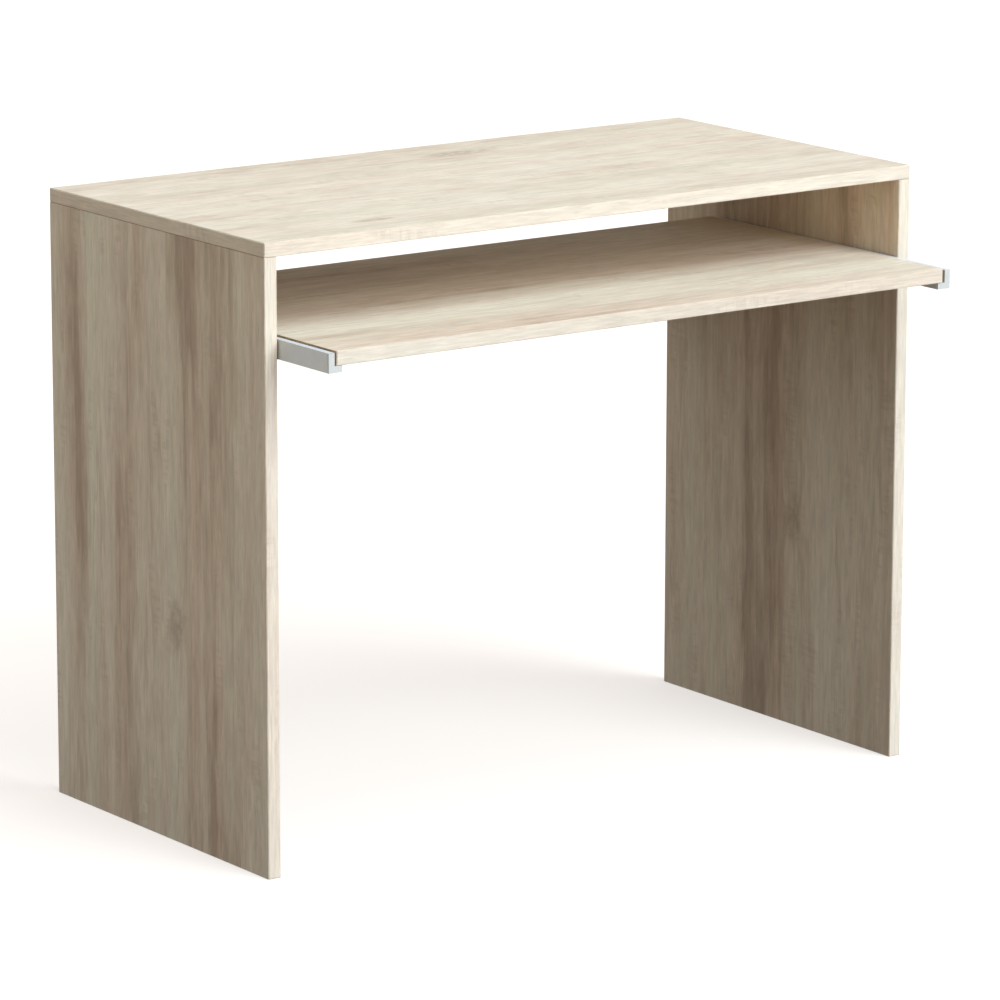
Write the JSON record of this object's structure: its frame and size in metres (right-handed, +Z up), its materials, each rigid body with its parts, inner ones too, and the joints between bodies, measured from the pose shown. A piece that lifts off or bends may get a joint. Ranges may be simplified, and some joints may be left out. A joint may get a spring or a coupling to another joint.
{
  "type": "computer desk",
  "caption": "Rectangular wood-grain computer desk with solid end panels and a full-width keyboard tray that slides out on roller runners under the top.",
  "frame": {"origin": "on the floor, in the middle of the footprint that the desk covers with its tray drawn out by 96 mm, the rest pose", "axes": "+X to the right as seen by the person who sits at the desk, +Y to the back, +Z up; the tray draws out towards -Y"},
  "size_m": [0.9, 0.536, 0.71],
  "materials": {
    "laminate": "pale oak decor laminate on 16 mm chipboard, satin, fine grain",
    "edging": "1 mm oak decor edging strip, satin",
    "decor_foil": "thin self-adhesive oak decor disc, satin",
    "runner_enamel": "grey stoved enamel on roll-formed steel, satin",
    "plated_steel": "bright zinc plate",
    "zinc_casting": null,
    "nylon": "natural white nylon, satin",
    "beech": "raw beech, matt"
  },
  "bodies": {
    "carcass": {"left_cabinet_rail": "runner_enamel", "left_front_cam": "zinc_casting", "left_front_cam_bolt": "plated_steel", "left_front_cam_cover": "decor_foil", "left_front_rail_screw": "plated_steel", "left_front_roller_axle": "plated_steel", "left_rear_cam": "zinc_casting", "left_rear_cam_bolt": "plated_steel", "left_rear_cam_cover": "decor_foil", "left_rear_rail_screw": "plated_steel", "left_side_front_edging": "edging", "left_side_panel": "laminate", "left_stretcher_cam": "zinc_casting", "left_stretcher_cam_bolt": "plated_steel", "left_stretcher_dowel": "beech", "left_top_dowel": "beech", "rear_stretcher": "laminate", "right_cabinet_rail": "runner_enamel", "right_front_cam": "zinc_casting", "right_front_cam_bolt": "plated_steel", "right_front_cam_cover": "decor_foil", "right_front_rail_screw": "plated_steel", "right_front_roller_axle": "plated_steel", "right_rear_cam": "zinc_casting", "right_rear_cam_bolt": "plated_steel", "right_rear_cam_cover": "decor_foil", "right_rear_rail_screw": "plated_steel", "right_side_front_edging": "edging", "right_side_panel": "laminate", "right_stretcher_cam": "zinc_casting", "right_stretcher_cam_bolt": "plated_steel", "right_stretcher_dowel": "beech", "right_top_dowel": "beech", "top_front_edging": "edging", "top_left_end_edging": "edging", "top_panel": "laminate", "top_right_end_edging": "edging"},
    "tray": {"keyboard_tray": "laminate", "left_front_runner_screw": "plated_steel", "left_rear_roller_axle": "plated_steel", "left_rear_runner_screw": "plated_steel", "left_roller_bracket": "plated_steel", "left_runner_end_cap": "nylon", "left_tray_runner": "runner_enamel", "right_front_runner_screw": "plated_steel", "right_rear_roller_axle": "plated_steel", "right_rear_runner_screw": "plated_steel", "right_roller_bracket": "plated_steel", "right_runner_end_cap": "nylon", "right_tray_runner": "runner_enamel", "tray_front_edging": "edging"},
    "left_front_wheel": {"left_front_roller": "nylon"},
    "left_rear_wheel": {"left_rear_roller": "nylon"},
    "right_front_wheel": {"right_front_roller": "nylon"},
    "right_rear_wheel": {"right_rear_roller": "nylon"}
  },
  "joints": [
    {"name": "tray_slide", "type": "slide", "parent": "carcass", "child": "tray", "axis": [0, -1, 0], "range_m": [-0.096, 0.207]},
    {"name": "left_front_wheel_turn", "type": "hinge", "parent": "carcass", "child": "left_front_wheel", "pos_m": [-0.4282, -0.142, 0.5717], "axis": [1, 0, 0], "continuous": true},
    {"name": "left_rear_wheel_turn", "type": "hinge", "parent": "tray", "child": "left_rear_wheel", "pos_m": [-0.4282, 0.138, 0.5688], "axis": [1, 0, 0], "continuous": true},
    {"name": "right_front_wheel_turn", "type": "hinge", "parent": "carcass", "child": "right_front_wheel", "pos_m": [0.4282, -0.142, 0.5717], "axis": [1, 0, 0], "continuous": true},
    {"name": "right_rear_wheel_turn", "type": "hinge", "parent": "tray", "child": "right_rear_wheel", "pos_m": [0.4282, 0.138, 0.5688], "axis": [1, 0, 0], "continuous": true}
  ],
  "couplings": [
    {"joint": "left_front_wheel_turn", "follows": "tray_slide", "rad_per_m": 111.11},
    {"joint": "left_rear_wheel_turn", "follows": "tray_slide", "rad_per_m": 111.11},
    {"joint": "right_front_wheel_turn", "follows": "tray_slide", "rad_per_m": 111.11},
    {"joint": "right_rear_wheel_turn", "follows": "tray_slide", "rad_per_m": 111.11}
  ]
}
